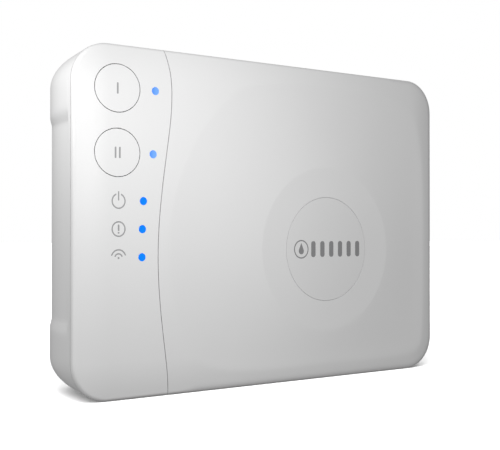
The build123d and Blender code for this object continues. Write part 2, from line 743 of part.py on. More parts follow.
def plunger_front():
    """Depth at which the switch plungers meet the button stems."""
    return DISPLAY_FRONT_Y - SWITCH_HEIGHT - PLUNGER_SEAT - BUTTON_TRAVEL * 0.5


def make_tact_switch(x, z):
    """Switch body with the bore its plunger slides in."""
    half = SWITCH_SIDE / 2
    front = DISPLAY_FRONT_Y - SWITCH_HEIGHT
    body = soft_block(x - half, x + half, front, DISPLAY_FRONT_Y, z - half, z + half, 0.5)
    depth = PLUNGER_SEAT + BUTTON_TRAVEL + PLUNGER_ROOM
    return body - rod(x, z, PLUNGER_R + PLUNGER_CLEARANCE, front - OVERCUT, front + depth)


def make_plunger(x, z):
    return rod(x, z, PLUNGER_R, plunger_front(), DISPLAY_FRONT_Y - SWITCH_HEIGHT + PLUNGER_SEAT)


def make_light_pipe(x, z):
    """A clear pin, flush in the panel, with a collar behind it."""
    pipe = rod(x, z, LIGHT_R, FACE_Y, light_top() - LIGHT_GAP)
    collar_end = INNER_FACE_Y + LIGHT_COLLAR_THICKNESS
    return pipe + rod(x, z, LIGHT_R + LIGHT_COLLAR, INNER_FACE_Y, collar_end)


def light_top():
    """Depth of the front of the light chips."""
    return DISPLAY_FRONT_Y - LED[2]


def make_indicator_leds():
    half_width, half_height = LED[0] / 2, LED[1] / 2
    chips = []
    for x, z in light_places():
        sides = (x - half_width, x + half_width, light_top(), DISPLAY_FRONT_Y)
        chips.append(block(*sides, z - half_height, z + half_height))
    return Compound(chips)


def make_display_board():
    x0, x1 = LEFT + DISPLAY_X[0], LEFT + DISPLAY_X[1]
    board = block(x0, x1, DISPLAY_FRONT_Y, DISPLAY_BACK_Y, *DISPLAY_Z)
    board = fillet(board.edges().filter_by(Axis.Y), 2)
    for x, z in display_post_places():
        board -= rod(x, z, SCREW_R - SCREW_PLAY, DISPLAY_FRONT_Y - OVERCUT, DISPLAY_BACK_Y + OVERCUT)
    return board


# ---------------------------------------------------------------- screws
def pan_screw(x, z, head_y, shank, radius, facing):
    """A pan-head screw with a cross slot; facing is -1 for a head towards the front."""
    head_r = radius + (SCREW_HEAD_R - SCREW_R)
    ends = sorted((head_y, head_y + facing * SCREW_HEAD))
    head = rod(x, z, head_r, *ends)
    outer = head.faces().sort_by(Axis.Y)[0 if facing < 0 else -1]
    head = chamfer(outer.edges(), SCREW_HEAD * 0.3)
    top = head_y + facing * SCREW_HEAD
    slot_y = sorted((top + facing * OVERCUT, top - facing * SCREW_HEAD * 0.5))
    arm, half = head_r * 0.6, radius * 0.22
    head -= block(x - arm, x + arm, *slot_y, z - half, z + half)
    head -= block(x - half, x + half, *slot_y, z - arm, z + arm)
    return head + rod(x, z, radius, *sorted((head_y, head_y - facing * shank)))


def make_panel_screws():
    shank = LEDGE_THICKNESS + SCREW_BITE
    places = panel_screw_places()
    return Compound([pan_screw(x, z, LEDGE_FRONT_Y, shank, PILOT_R, -1) for x, z in places])


def make_main_board_screws():
    shank = BOARD + BOARD_SCREW_BITE
    places = main_boss_places()
    return Compound([pan_screw(x, z, MAIN_FRONT_Y, shank, PILOT_R, -1) for x, z in places])


def make_display_board_screws():
    shank = BOARD + BOARD_SCREW_BITE
    places = display_post_places()
    return Compound([pan_screw(x, z, DISPLAY_BACK_Y, shank, DISPLAY_PILOT_R, 1) for x, z in places])


# ---------------------------------------------------------------- boards and what they carry
def on_board(place):
    """Front-view place of something given from the main board's right and top edges."""
    return MAIN_RIGHT - place[0], MAIN_TOP - place[1]


def on_main(x, z, width, height, tall):
    """Corners of a component that stands on the main board, given its centre and its sizes."""
    sides = (x - width / 2, x + width / 2)
    return (*sides, MAIN_FRONT_Y - tall, MAIN_FRONT_Y, z - height / 2, z + height / 2)


def make_main_board():
    board = block(MAIN_LEFT, MAIN_RIGHT, MAIN_FRONT_Y, MAIN_BACK_Y, MAIN_BOTTOM, MAIN_TOP)
    board = fillet(board.edges().filter_by(Axis.Y), 3)
    for x, z in main_boss_places():
        board -= rod(x, z, SCREW_R, MAIN_FRONT_Y - OVERCUT, MAIN_BACK_Y + OVERCUT)
    return board


def terminal_centre_z():
    return MAIN_BOTTOM + TERMINAL_DEPTH / 2


def way_places(x, ways, pitch):
    return [x + (index - (ways - 1) / 2) * pitch for index in range(ways)]


def make_terminal(x, ways, pitch):
    """A screw terminal block: wire mouths below, a screw well above each of them."""
    z = terminal_centre_z()
    width = ways * pitch + TERMINAL_END * 2
    body = block(*on_main(x, z, width, TERMINAL_DEPTH, TERMINAL_HEIGHT))
    top = MAIN_FRONT_Y - TERMINAL_HEIGHT
    front_edges = body.edges().filter_by(Axis.X).group_by(Axis.Y)[0]
    body = chamfer(front_edges, TERMINAL_CHAMFER)
    half_mouth = pitch * 0.34
    mouth_y = (MAIN_FRONT_Y - MOUTH_DEPTH[1], MAIN_FRONT_Y - MOUTH_DEPTH[0])
    for way in way_places(x, ways, pitch):
        mouth_x = (way - half_mouth, way + half_mouth)
        body -= block(*mouth_x, *mouth_y, MAIN_BOTTOM - OVERCUT, z + OVERCUT)
        body -= rod(way, z, pitch * 0.36, top - OVERCUT, top + WELL_DEPTH)
        body -= rod(way, z, pitch * 0.22, top + WELL_DEPTH - ROOT, MAIN_FRONT_Y - MOUTH_DEPTH[0] - 1.6)
    return body


def clamp_screw(x, pitch):
    """A slotted clamping screw sunk in its well, sized by the terminal's pitch."""
    z = terminal_centre_z()
    head_y = MAIN_FRONT_Y - TERMINAL_HEIGHT + SCREW_SINK
    seat_y = MAIN_FRONT_Y - TERMINAL_HEIGHT + WELL_DEPTH
    head = rod(x, z, pitch * 0.34, head_y, seat_y)
    slot_y = (head_y - OVERCUT, (head_y + seat_y) / 2)
    head -= block(x - pitch * 0.3, x + pitch * 0.3, *slot_y, z - CLAMP_SLOT / 2, z + CLAMP_SLOT / 2)
    return head + rod(x, z, pitch * 0.2, seat_y - ROOT / 2, MAIN_FRONT_Y - MOUTH_DEPTH[0] - 2.6)


def make_terminal_screws(rows):
    """The clamping screws of every terminal block."""
    screws = []
    for x, ways, pitch in rows:
        screws += [clamp_screw(way, pitch) for way in way_places(x, ways, pitch)]
    return Compound(screws)


def make_relay(x, z):
    return soft_block(*on_main(x, z, *RELAY), 0.6)


def along_fuse(x, z, radius, start, end):
    """A round bar on the fuse's axis, between two distances from its middle."""
    bar = Cylinder(radius, end - start, align=(Align.CENTER, Align.CENTER, Align.MIN))
    return Pos(x + start, MAIN_FRONT_Y - FUSE_RISE, z) * Rot(0, 90, 0) * bar


def make_fuse_holder(x, z):
    """A cradle with an upright clip at each end, round the fuse's caps."""
    cradle = block(*on_main(x, z, *FUSE_CRADLE))
    for side in (-1, 1):
        cradle += block(*on_main(x + side * FUSE_CLIP_X, z, *FUSE_CLIP))
    reach = FUSE_CRADLE[0] / 2 + OVERCUT
    cradle -= along_fuse(x, z, FUSE_CAP_R + FUSE_CLEARANCE, -reach, reach)
    mouth_y = (MAIN_FRONT_Y - FUSE_CLIP[2] - OVERCUT, MAIN_FRONT_Y - FUSE_RISE)
    return cradle - block(x - reach, x + reach, *mouth_y, z - FUSE_MOUTH / 2, z + FUSE_MOUTH / 2)


def make_fuse_link(x, z):
    """A small tube fuse lying in the holder's clips."""
    half = FUSE_LENGTH / 2
    glass = along_fuse(x, z, FUSE_GLASS_R, -half + OVERCUT, half - OVERCUT)
    caps = along_fuse(x, z, FUSE_CAP_R, -half, FUSE_CAP - half)
    return glass + caps + along_fuse(x, z, FUSE_CAP_R, half - FUSE_CAP, half)


def make_capacitor(x, z, radius, tall):
    """A can with a rolled groove near its foot."""
    can = rod(x, z, radius, MAIN_FRONT_Y - tall, MAIN_FRONT_Y)
    can = fillet(can.edges().sort_by(Axis.Y)[0], 0.5)
    far = MAIN_FRONT_Y - GROOVE_RISE + GROOVE_WIDTH / 2
    near = far - GROOVE_WIDTH
    groove = rod(x, z, radius + OVERCUT, near, far)
    groove -= rod(x, z, radius - GROOVE_DEPTH, near - OVERCUT, far + OVERCUT)
    return can - groove


def make_varistor(x, z):
    """A coated disc standing on its edge, on two leads."""
    centre_y = MAIN_FRONT_Y - VARISTOR_R - VARISTOR_RISE
    disc = Cylinder(VARISTOR_R, VARISTOR_THICKNESS)
    disc = fillet(disc.edges(), 1.2)
    disc = Pos(x, centre_y, z) * Rot(0, 90, 0) * disc
    for side in (-1, 1):
        disc += rod(x, z + side * 2.5, 0.4, centre_y, MAIN_FRONT_Y)
    return disc


def make_chip(x, z, size, legs):
    """A flat package with short legs along its two upright sides."""
    width, height, tall = size
    half = width / 2
    back = MAIN_FRONT_Y - CHIP_LIFT
    chip = block(x - half, x + half, MAIN_FRONT_Y - tall, back, z - height / 2, z + height / 2)
    foot = half + LEG_LENGTH
    for leg_z in way_places(z, legs, height / legs):
        sides = (x - foot, x + foot, MAIN_FRONT_Y - LEG_RISE, MAIN_FRONT_Y)
        chip += block(*sides, leg_z - LEG_WIDTH / 2, leg_z + LEG_WIDTH / 2)
    return chip


def make_buzzer(x, z):
    """A round sounder with a central sound hole."""
    radius, tall = BUZZER
    front = MAIN_FRONT_Y - tall
    body = rod(x, z, radius, front, MAIN_FRONT_Y)
    body = fillet(body.edges().sort_by(Axis.Y)[0], 0.6)
    return body - rod(x, z, 1.1, front - OVERCUT, front + 1.5)


def make_regulator(x, z):
    """An upright power transistor package with its metal tab."""
    width, height, tall = REGULATOR
    thickness, tab_top, hole_rise = REGULATOR_TAB
    body = block(*on_main(x, z, width, height, tall))
    tab_z = z + height / 2
    tab = block(*on_main(x, tab_z + thickness / 2, width, thickness, tab_top))
    hole = Pos(x, MAIN_FRONT_Y - hole_rise, tab_z) * Cylinder(1.8, 4 * thickness)
    return (body + tab) - hole


def make_header(x, y0, y1):
    """A shrouded pin header."""
    half_width, half_height = HEADER[0] / 2, HEADER[1] / 2
    sides = (x - half_width, x + half_width, y0, y1)
    return block(*sides, HEADER_Z - half_height, HEADER_Z + half_height)


def main_header_x():
    return MAIN_LEFT + HEADER[0] / 2 + MAIN_HEADER_INSET


def make_ribbon_cable():
    """The flat cable from the display board's header to the main board's header."""
    start_x, end_x = LEFT + DISPLAY_HEADER_X, main_header_x()
    start_y, end_y = DISPLAY_BACK_Y + HEADER[2], MAIN_FRONT_Y - HEADER[2]
    run_y = (start_y + end_y) / 2
    bend = min(RIBBON_BEND_R, (end_y - start_y) / 2 * 0.8)
    corners = ((start_x, start_y), (start_x, run_y), (end_x, run_y), (end_x, end_y))
    path = FilletPolyline(*corners, radius=bend)
    end = Plane(origin=(start_x, start_y, 0), x_dir=(1, 0, 0), z_dir=(0, 1, 0))
    section = end * Rectangle(RIBBON_THICKNESS, RIBBON_HALF_WIDTH * 2)
    return Pos(0, 0, HEADER_Z) * sweep(section, path=path)


def make_wireless_board():
    x0 = LEFT + DISPLAY_X[0] + WIRELESS_FROM_BOARD
    width, height, thickness = WIRELESS_BOARD
    ends = (WIRELESS_Z - height / 2, WIRELESS_Z + height / 2)
    return block(x0, x0 + width, DISPLAY_BACK_Y, DISPLAY_BACK_Y + thickness, *ends)


def make_wireless_shield():
    """The metal can over the middle of the wireless board."""
    middle = LEFT + DISPLAY_X[0] + WIRELESS_FROM_BOARD + WIRELESS_BOARD[0] / 2
    width, height, tall = SHIELD
    front = DISPLAY_BACK_Y + WIRELESS_BOARD[2]
    sides = (middle - width / 2, middle + width / 2, front, front + tall)
    can = block(*sides, SHIELD_Z - height / 2, SHIELD_Z + height / 2)
    return fillet(can.edges().filter_by(Axis.Y), 0.6)


# ---------------------------------------------------------------- cable grommets
def make_grommet(x):
    """A soft bush with a flange on each side of the entry wall."""
    bush = upright(x, ENTRY_Y, ENTRY_HOLE_R, ENTRY_OUTER_Z, ENTRY_INNER_Z)
    bush += upright(x, ENTRY_Y, ENTRY_FLANGE_R, ENTRY_OUTER_Z - ENTRY_FLANGE, ENTRY_OUTER_Z)
    bush += upright(x, ENTRY_Y, ENTRY_FLANGE_R, ENTRY_INNER_Z, ENTRY_INNER_Z + ENTRY_FLANGE)
    ends = (ENTRY_OUTER_Z - ENTRY_FLANGE - OVERCUT, ENTRY_INNER_Z + ENTRY_FLANGE + OVERCUT)
    return bush - upright(x, ENTRY_Y, ENTRY_BORE_R, *ends)


# ---------------------------------------------------------------- the whole controller
def build():
    """Every node by name."""
    nodes = {}
    blank = front_blank()
    crown = rounded_body(front_section()) + inside(0, SEAM_Y - SHADOW_GAP, LIP_END_Y)
    panel_marks = make_panel_marks()
    emblem = make_badge_emblem()

    nodes["rear_shell"] = make_rear_shell()
    nodes["entry_strip"] = make_entry_strip()
    nodes["control_panel"] = make_control_panel(blank, panel_marks)
    nodes["terminal_cover"] = make_terminal_cover(blank)
    nodes["rim_gasket"] = make_rim_gasket()
    nodes["cover_badge"] = make_badge(emblem)
    nodes["badge_emblem"] = emblem
    nodes["panel_marks"] = panel_marks
    nodes["panel_screws"] = make_panel_screws()

    for number, (x, z) in enumerate(button_places(), start=1):
        mark = make_button_mark(x, z, number)
        nodes[f"button_mark_{number}"] = mark
        nodes[f"button_cap_{number}"] = make_button_cap(x, z, mark, crown)
        nodes[f"tact_switch_{number}"] = make_tact_switch(x, z)
        nodes[f"switch_plunger_{number}"] = make_plunger(x, z)
    for number, (x, z) in enumerate(light_places(), start=1):
        nodes[f"light_pipe_{number}"] = make_light_pipe(x, z)

    header_tall = HEADER[2]
    nodes["indicator_leds"] = make_indicator_leds()
    nodes["display_board"] = make_display_board()
    nodes["display_board_screws"] = make_display_board_screws()
    nodes["wireless_board"] = make_wireless_board()
    nodes["wireless_shield"] = make_wireless_shield()
    display_ends = (DISPLAY_BACK_Y, DISPLAY_BACK_Y + header_tall)
    nodes["display_header"] = make_header(LEFT + DISPLAY_HEADER_X, *display_ends)
    nodes["main_header"] = make_header(main_header_x(), MAIN_FRONT_Y - header_tall, MAIN_FRONT_Y)
    nodes["ribbon_cable"] = make_ribbon_cable()

    nodes["main_board"] = make_main_board()
    nodes["main_board_screws"] = make_main_board_screws()
    nodes["power_module"] = soft_block(*on_main(*on_board(POWER_MODULE_AT), *POWER_MODULE), 1.0)
    nodes["fuse_holder"] = make_fuse_holder(*on_board(FUSE_AT))
    nodes["fuse_link"] = make_fuse_link(*on_board(FUSE_AT))
    nodes["varistor"] = make_varistor(*on_board(VARISTOR_AT))
    nodes["filter_capacitor"] = soft_block(*on_main(*on_board(FILTER_AT), *FILTER), 0.6)
    big = make_capacitor(*on_board(BIG_CAN_AT), *BIG_CAN)
    small = make_capacitor(*on_board(SMALL_CAN_AT), *SMALL_CAN)
    nodes["electrolytic_capacitors"] = Compound([big, small])
    nodes["buzzer"] = make_buzzer(*on_board(BUZZER_AT))
    nodes["voltage_regulator"] = make_regulator(*on_board(REGULATOR_AT))
    nodes["microcontroller"] = make_chip(*on_board(MICROCONTROLLER_AT), MICROCONTROLLER, 10)
    nodes["relay_driver"] = make_chip(*on_board(RELAY_DRIVER_AT), RELAY_DRIVER, 8)
    nodes["crystal"] = soft_block(*on_main(*on_board(CRYSTAL_AT), *CRYSTAL), 1.2)

    relay_z = MAIN_BOTTOM + TERMINAL_DEPTH + RELAY_GAP + RELAY[1] / 2
    for index in range(RELAYS):
        x = MAIN_RIGHT - RELAY_FROM_RIGHT - index * RELAY_PITCH
        nodes[f"relay_{index + 1}"] = make_relay(x, relay_z)

    rows = {
        "mains_terminal": (MAIN_RIGHT - MAINS_TERMINAL_X, 3, TERMINAL_PITCH),
        "valve_terminal_1": (MAIN_RIGHT - VALVE_TERMINALS_X[0], 3, TERMINAL_PITCH),
        "valve_terminal_2": (MAIN_RIGHT - VALVE_TERMINALS_X[1], 3, TERMINAL_PITCH),
        "sensor_terminal": (MAIN_RIGHT - SENSOR_TERMINAL_X, 8, SENSOR_PITCH),
    }
    for name, row in rows.items():
        nodes[name] = make_terminal(*row)
    nodes["terminal_screws"] = make_terminal_screws(rows.values())

    for name, x in zip(("grommet_sensors", "grommet_valves", "grommet_mains"), ENTRY_X):
        nodes[name] = make_grommet(x)
    return nodes


for node_name, shape in build().items():
    export_step(shape, f"parts/{node_name}.step")
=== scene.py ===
"""Studio picture of the wall-mounted controller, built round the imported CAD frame."""
import bpy
import bmesh
import math
from mathutils import Matrix, Vector


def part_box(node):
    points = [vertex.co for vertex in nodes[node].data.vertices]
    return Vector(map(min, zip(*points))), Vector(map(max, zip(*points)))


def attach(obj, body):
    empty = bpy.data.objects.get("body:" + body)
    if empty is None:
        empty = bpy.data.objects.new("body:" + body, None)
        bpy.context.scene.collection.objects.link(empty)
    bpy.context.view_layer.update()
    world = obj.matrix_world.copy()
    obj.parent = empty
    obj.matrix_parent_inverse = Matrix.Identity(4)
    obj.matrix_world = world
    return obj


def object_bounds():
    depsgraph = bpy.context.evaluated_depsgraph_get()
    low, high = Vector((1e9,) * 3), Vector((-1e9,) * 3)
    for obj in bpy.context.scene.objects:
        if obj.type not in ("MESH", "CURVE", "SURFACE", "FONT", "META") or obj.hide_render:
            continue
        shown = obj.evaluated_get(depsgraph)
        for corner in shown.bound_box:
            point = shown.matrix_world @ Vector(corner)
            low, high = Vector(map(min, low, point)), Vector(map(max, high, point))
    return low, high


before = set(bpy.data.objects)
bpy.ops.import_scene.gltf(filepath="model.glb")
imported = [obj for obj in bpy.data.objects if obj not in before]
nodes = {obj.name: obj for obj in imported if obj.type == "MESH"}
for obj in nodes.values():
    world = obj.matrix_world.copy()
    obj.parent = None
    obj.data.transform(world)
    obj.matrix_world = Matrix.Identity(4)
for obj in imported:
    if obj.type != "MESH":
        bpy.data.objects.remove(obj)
cad_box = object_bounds()
MM = 0.001


# ---------------------------------------------------------------- colours and finishes
CASING = (0.80, 0.80, 0.80)
BADGE = (0.78, 0.78, 0.78)
PRINT = (0.72, 0.72, 0.70)          # white print on the boards
RELAY_BLUE = (0.02, 0.085, 0.42)
FIRST_WIRE = (0.5, 0.06, 0.05)
# a finish is a colour, a metallic value and a roughness
STEEL = ((0.72, 0.72, 0.71), 1.0, 0.3)
BLACK = ((0.018, 0.018, 0.02), 0.0, 0.5)
GLASS = ((0.50, 0.54, 0.55), 0.0, 0.08)
LIGHT_LOOKS = (
    # name, colour at the left rim, colour in the middle, and the numbers of the light windows
    ("pale", (0.085, 0.30, 1.0), (0.19, 0.43, 1.0), (1, 2)),
    ("full", (0.0, 0.215, 1.0), (0.0, 0.235, 1.0), (3, 4, 5)),
)
CHIP_HALF_WIDTHS = (("microcontroller", 0.005), ("relay_driver", 0.003))
FUSE_GLASS_HALF = 0.005             # of the glass that shows between its caps
REGULATOR_BODY = 0.0044             # height of its plastic, below the metal tab
GLOW_DEEP_MM = 1.7                  # left of a window's middle, where its glow is deepest
GLOW_PALE_MM = 0.4                  # right of it, where the glow is palest
RUN_CELLS = 95.0                    # cells to a metre in the pattern of the copper runs
RUN_SPACING = 0.085                 # of a cell
RUN_WIDTH = 0.026

# where the casing's shading is softened, in metres
DISH_SOFT_MM = 4.0
DISH_LOW_Z = (-0.040, -0.050)       # the softening grows between these two
DISH_RIGHT_X = (0.066, 0.076)
DISH_LEFT_X = (-0.054, -0.044)
DISH_Y = (-0.0442, -0.0422)
GRIP_SOFT_MM = 5.0
GRIP_RAMP_Z = (0.032, 0.058)
GRIP_X = 0.094
GRIP_FRONT_Y = -0.037


# ---------------------------------------------------------------- camera
LENS_MM = 71.7
CAMERA_YAW = 36.18          # degrees, from straight at the face towards +X
CAMERA_PITCH = 0.47
CAMERA_PLACE = (-0.2824, -0.4084, -0.0047)


def make_camera():
    data = bpy.data.cameras.new("camera")
    data.lens = LENS_MM
    data.sensor_width = 36.0
    data.clip_start = 0.01
    camera = bpy.data.objects.new("camera", data)
    bpy.context.scene.collection.objects.link(camera)
    camera.location = CAMERA_PLACE
    camera.rotation_euler = math.radians(90 + CAMERA_PITCH), 0, -math.radians(CAMERA_YAW)
    bpy.context.scene.camera = camera


# ---------------------------------------------------------------- shader building blocks
def new_material(name):
    material = bpy.data.materials.new(name)
    material.use_nodes = True
    tree = material.node_tree
    shader = next(node for node in tree.nodes if node.type == "BSDF_PRINCIPLED")
    return material, tree, shader


def add_node(tree, kind, **sockets):
    """A node with some of its inputs set or linked."""
    node = tree.nodes.new(kind)
    for name, value in sockets.items():
        connect(tree, node.inputs[name.replace("_", " ")], value)
    return node


def connect(tree, socket, value):
    if isinstance(value, bpy.types.NodeSocket):
        tree.links.new(value, socket)
    else:
        socket.default_value = value


def maths(tree, operation, *values):
    node = tree.nodes.new("ShaderNodeMath")
    node.operation = operation
    for socket, value in zip(node.inputs, values):
        connect(tree, socket, value)
    return node.outputs[0]


def blend_colour(tree, factor, first, second):
    node = tree.nodes.new("ShaderNodeMix")
    node.data_type = "RGBA"
    connect(tree, node.inputs[0], factor)
    node.inputs[6].default_value = (*first, 1)
    connect(tree, node.inputs[7], second if isinstance(second, bpy.types.NodeSocket) else (*second, 1))
    return node.outputs[2]


def rescale(tree, value, low, high, new_low, new_high):
    node = add_node(tree, "ShaderNodeMapRange", Value=value)
    for name, number in zip(("From Min", "From Max", "To Min", "To Max"), (low, high, new_low, new_high)):
        node.inputs[name].default_value = number
    return node.outputs[0]


def place_in(tree):
    return tree.nodes.new("ShaderNodeTexCoord").outputs["Object"]


def axes_in(tree):
    """The x, y and z of a point of the object, in metres, as three sockets."""
    return add_node(tree, "ShaderNodeSeparateXYZ", Vector=place_in(tree)).outputs


def noise(tree, scale, detail=2.0, stretch=None):
    place = place_in(tree)
    if stretch:
        mapping = add_node(tree, "ShaderNodeMapping", Vector=place)
        mapping.inputs["Scale"].default_value = stretch
        place = mapping.outputs[0]
    return add_node(tree, "ShaderNodeTexNoise", Vector=place, Scale=scale, Detail=detail).outputs["Fac"]


def relief(tree, shader, height, depth_mm, strength=0.4):
    bump = add_node(tree, "ShaderNodeBump", Height=height, Strength=strength, Distance=depth_mm * MM)
    tree.links.new(bump.outputs[0], shader.inputs["Normal"])


def between(tree, value, low, high):
    """1 where a value lies between two limits, and 0 elsewhere."""
    above = maths(tree, "GREATER_THAN", value, low)
    return maths(tree, "MULTIPLY", above, maths(tree, "LESS_THAN", value, high))


# ---------------------------------------------------------------- materials
def moulded_plastic(name, colour, roughness=0.42, grain_mm=0.04, specks=0.012):
    """Injection-moulded plastic: a fine spark texture, a little uneven in gloss and tone."""
    material, tree, shader = new_material(name)
    dark = [c * (1 - specks) for c in colour]
    light = [min(1, c * (1 + specks)) for c in colour]
    connect(tree, shader.inputs["Base Color"], blend_colour(tree, noise(tree, 35.0, 3.0), dark, light))
    gloss = rescale(tree, noise(tree, 900.0), 0, 1, roughness - 0.05, roughness + 0.05)
    connect(tree, shader.inputs["Roughness"], gloss)
    relief(tree, shader, noise(tree, 2600.0), grain_mm, 0.35)
    shader.inputs["Specular IOR Level"].default_value = 0.45
    return material


def glossy_coat(name, colour, roughness=0.22):
    """Dipped or lacquered coating with a slightly wavy surface."""
    material, tree, shader = new_material(name)
    dark = [c * 0.85 for c in colour]
    connect(tree, shader.inputs["Base Color"], blend_colour(tree, noise(tree, 220.0), dark, colour))
    gloss = rescale(tree, noise(tree, 500.0), 0, 1, roughness, roughness + 0.12)
    connect(tree, shader.inputs["Roughness"], gloss)
    relief(tree, shader, noise(tree, 260.0), 0.25, 0.25)
    shader.inputs["Coat Weight"].default_value = 0.3
    return material


def plated_metal(name, colour, roughness=0.32, stretch=(1, 14, 1)):
    """Plated or tinned metal with a faint drawn grain."""
    material, tree, shader = new_material(name)
    dark = [c * 0.82 for c in colour]
    drawn = noise(tree, 300.0, 4.0, stretch)
    connect(tree, shader.inputs["Base Color"], blend_colour(tree, drawn, dark, colour))
    gloss = rescale(tree, noise(tree, 700.0, 3.0, stretch), 0, 1, roughness - 0.1, roughness + 0.12)
    connect(tree, shader.inputs["Roughness"], gloss)
    shader.inputs["Metallic"].default_value = 1.0
    relief(tree, shader, noise(tree, 900.0, 2.0, stretch), 0.02, 0.3)
    return material


def soft_rubber(name, colour):
    """Matt rubber with a dusty bloom."""
    material, tree, shader = new_material(name)
    bloom = [min(1, c * 1.5 + 0.02) for c in colour]
    connect(tree, shader.inputs["Base Color"], blend_colour(tree, noise(tree, 160.0, 5.0), colour, bloom))
    connect(tree, shader.inputs["Roughness"], rescale(tree, noise(tree, 600.0), 0, 1, 0.6, 0.85))
    relief(tree, shader, noise(tree, 1800.0), 0.05, 0.4)
    shader.inputs["Specular IOR Level"].default_value = 0.3
    return material


def printed_ink(name, colour):
    """A thin matt print, a little uneven where the ink lies thinner."""
    material, tree, shader = new_material(name)
    thin = [min(1, c * 1.12) for c in colour]
    connect(tree, shader.inputs["Base Color"], blend_colour(tree, noise(tree, 1500.0, 3.0), colour, thin))
    connect(tree, shader.inputs["Roughness"], rescale(tree, noise(tree, 1200.0), 0, 1, 0.5, 0.65))
    relief(tree, shader, noise(tree, 3000.0), 0.02, 0.3)
    shader.inputs["Specular IOR Level"].default_value = 0.2
    return material


def lit_window(name, centre_x, rim, heart, strength):
    """A clear pin glowing from behind: the left side is deeper, and the middle paler."""
    material, tree, shader = new_material(name)
    x = axes_in(tree)[0]
    deepest, palest = centre_x - GLOW_DEEP_MM * MM, centre_x + GLOW_PALE_MM * MM
    across = rescale(tree, x, deepest, palest, 0, 1)
    cloud = maths(tree, "MULTIPLY", across, rescale(tree, noise(tree, 700.0), 0.2, 0.8, 0.92, 1.08))
    body = blend_colour(tree, cloud, [c * 0.03 for c in rim], [c * 0.05 for c in rim])
    connect(tree, shader.inputs["Base Color"], body)
    connect(tree, shader.inputs["Emission Color"], blend_colour(tree, cloud, rim, heart))
    shader.inputs["Emission Strength"].default_value = strength
    connect(tree, shader.inputs["Roughness"], rescale(tree, noise(tree, 900.0), 0, 1, 0.2, 0.35))
    shader.inputs["Specular IOR Level"].default_value = 0.2
    return material


def circuit_board(name):
    """Lacquered green board with copper runs showing through as paler, raised lines."""
    material, tree, shader = new_material(name)
    cells = add_node(tree, "ShaderNodeTexVoronoi", Vector=place_in(tree), Scale=RUN_CELLS)
    cells.distance = "CHEBYCHEV"
    steps = maths(tree, "PINGPONG", cells.outputs["Distance"], RUN_SPACING)
    runs = maths(tree, "LESS_THAN", steps, RUN_WIDTH)
    mask = (0.004, 0.085, 0.036)
    copper = (0.016, 0.17, 0.07)
    cloudy = blend_colour(tree, noise(tree, 60.0, 4.0), copper, (0.02, 0.20, 0.085))
    connect(tree, shader.inputs["Base Color"], blend_colour(tree, runs, mask, cloudy))
    connect(tree, shader.inputs["Roughness"], rescale(tree, noise(tree, 400.0), 0, 1, 0.22, 0.38))
    relief(tree, shader, runs, 0.035, 0.6)
    shader.inputs["Coat Weight"].default_value = 0.25
    return material


def banded(name, axis, low, high, inner, outer):
    """A piece of two finishes: one between two limits along an axis, the other outside them.

    A finish is a colour, a metallic value and a roughness, and the inner one is a little worn.
    """
    material, tree, shader = new_material(name)
    inside = between(tree, axes_in(tree)["XYZ".index(axis)], low, high)
    tint = noise(tree, 400.0, 3.0)
    worn = blend_colour(tree, tint, [c * 0.85 for c in inner[0]], inner[0])
    connect(tree, shader.inputs["Base Color"], blend_colour(tree, inside, outer[0], worn))
    connect(tree, shader.inputs["Metallic"], rescale(tree, inside, 0, 1, outer[1], inner[1]))
    connect(tree, shader.inputs["Roughness"], rescale(tree, inside, 0, 1, outer[2], inner[2]))
    relief(tree, shader, noise(tree, 1500.0), 0.03, 0.3)
    return material


def capped_can(name, sleeve, metal):
    """A capacitor can: printed sleeve round its side, bare metal on its end."""
    material, tree, shader = new_material(name)
    facing = tree.nodes.new("ShaderNodeNewGeometry").outputs["Normal"]
    sideways, forward, _ = add_node(tree, "ShaderNodeSeparateXYZ", Vector=facing).outputs
    end = maths(tree, "LESS_THAN", forward, -0.9)
    stripe = between(tree, sideways, 0.86, 1.1)
    sleeved = blend_colour(tree, stripe, sleeve, (0.45, 0.47, 0.50))
    covered = maths(tree, "SUBTRACT", 1.0, end)
    connect(tree, shader.inputs["Base Color"], blend_colour(tree, covered, metal, sleeved))
    connect(tree, shader.inputs["Metallic"], end)
    connect(tree, shader.inputs["Roughness"], rescale(tree, noise(tree, 700.0), 0, 1, 0.25, 0.4))
    relief(tree, shader, noise(tree, 500.0), 0.05, 0.25)
    return material


def ribbed_ribbon(name, colour, pitch_mm):
    """Flat cable: a rib for each wire, the first one marked, with painted shade darkening the grooves between
    the ribs.
    """
    material, tree, shader = new_material(name)
    z = axes_in(tree)[2]
    wave = maths(tree, "SINE", maths(tree, "MULTIPLY", z, math.pi / (pitch_mm * MM)))
    rib = maths(tree, "ABSOLUTE", wave)
    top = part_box("ribbon_cable")[1][2]
    first = maths(tree, "GREATER_THAN", z, top - pitch_mm * MM)
    others = maths(tree, "SUBTRACT", 1.0, first)
    # painted shade: the grey drops to three quarters in the grooves between the ribs, where the relief is
    # lowest
    grey = blend_colour(tree, rib, [c * 0.75 for c in colour], colour)
    connect(tree, shader.inputs["Base Color"], blend_colour(tree, others, FIRST_WIRE, grey))
    connect(tree, shader.inputs["Roughness"], rescale(tree, noise(tree, 500.0), 0, 1, 0.4, 0.55))
    relief(tree, shader, rib, 0.25, 0.8)
    return material


